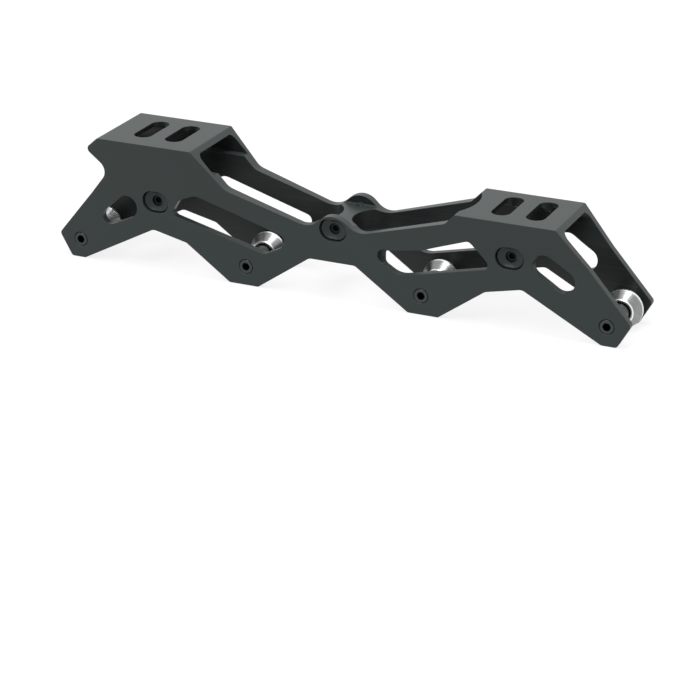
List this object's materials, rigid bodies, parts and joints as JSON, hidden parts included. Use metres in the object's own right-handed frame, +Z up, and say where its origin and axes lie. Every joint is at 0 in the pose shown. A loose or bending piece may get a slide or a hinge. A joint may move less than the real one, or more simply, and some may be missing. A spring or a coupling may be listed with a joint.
{
  "type": "inline skate frame",
  "caption": "Milled aluminium inline skate frame: open channel with raised heel and toe decks, slotted boot mounts, screw-in wheel axles, loose bearing spacers and cross bars.",
  "frame": {"origin": "on the floor under the middle of the axles, at the feet of the legs", "axes": "+X towards the toe, +Y towards the side with the axle heads, +Z up"},
  "size_m": [0.2628, 0.0392, 0.0577],
  "materials": {
    "anodised": "satin dark grey anodised",
    "bright_aluminium": "turned, bare",
    "axle_steel": "satin, dark plated",
    "black_steel": "black oxide"
  },
  "bodies": {
    "frame": {"chassis": "anodised", "cross_bar_rear": "anodised", "cross_bar_front": "anodised", "oval_bush_rear_left": "anodised", "oval_bush_rear_right": "anodised", "oval_bush_mid_left": "anodised", "oval_bush_mid_right": "anodised", "oval_bush_front_left": "anodised", "oval_bush_front_right": "anodised", "screw_rear_left": "black_steel", "screw_rear_right": "black_steel", "screw_mid_left": "black_steel", "screw_mid_right": "black_steel", "screw_front_left": "black_steel", "screw_front_right": "black_steel"},
    "axle_rear": {"axle_rear": "axle_steel"},
    "axle_mid_rear": {"axle_mid_rear": "axle_steel"},
    "axle_mid_front": {"axle_mid_front": "axle_steel"},
    "axle_front": {"axle_front": "axle_steel"},
    "spacer_rear": {"spacer_rear": "bright_aluminium"},
    "spacer_mid_rear": {"spacer_mid_rear": "bright_aluminium"},
    "spacer_mid_front": {"spacer_mid_front": "bright_aluminium"},
    "spacer_front": {"spacer_front": "bright_aluminium"}
  },
  "joints": [
    {"name": "draw_axle_rear", "type": "slide", "parent": "frame", "child": "axle_rear", "axis": [0, 1, 0], "range_m": [0, 0.035]},
    {"name": "draw_axle_mid_rear", "type": "slide", "parent": "frame", "child": "axle_mid_rear", "axis": [0, 1, 0], "range_m": [0, 0.035]},
    {"name": "draw_axle_mid_front", "type": "slide", "parent": "frame", "child": "axle_mid_front", "axis": [0, 1, 0], "range_m": [0, 0.035]},
    {"name": "draw_axle_front", "type": "slide", "parent": "frame", "child": "axle_front", "axis": [0, 1, 0], "range_m": [0, 0.035]},
    {"name": "slide_spacer_rear", "type": "slide", "parent": "frame", "child": "spacer_rear", "axis": [0, 1, 0], "range_m": [-0.0137, 0]},
    {"name": "slide_spacer_mid_rear", "type": "slide", "parent": "frame", "child": "spacer_mid_rear", "axis": [0, 1, 0], "range_m": [-0.0137, 0]},
    {"name": "slide_spacer_mid_front", "type": "slide", "parent": "frame", "child": "spacer_mid_front", "axis": [0, 1, 0], "range_m": [-0.0137, 0]},
    {"name": "slide_spacer_front", "type": "slide", "parent": "frame", "child": "spacer_front", "axis": [0, 1, 0], "range_m": [-0.0137, 0]}
  ]
}
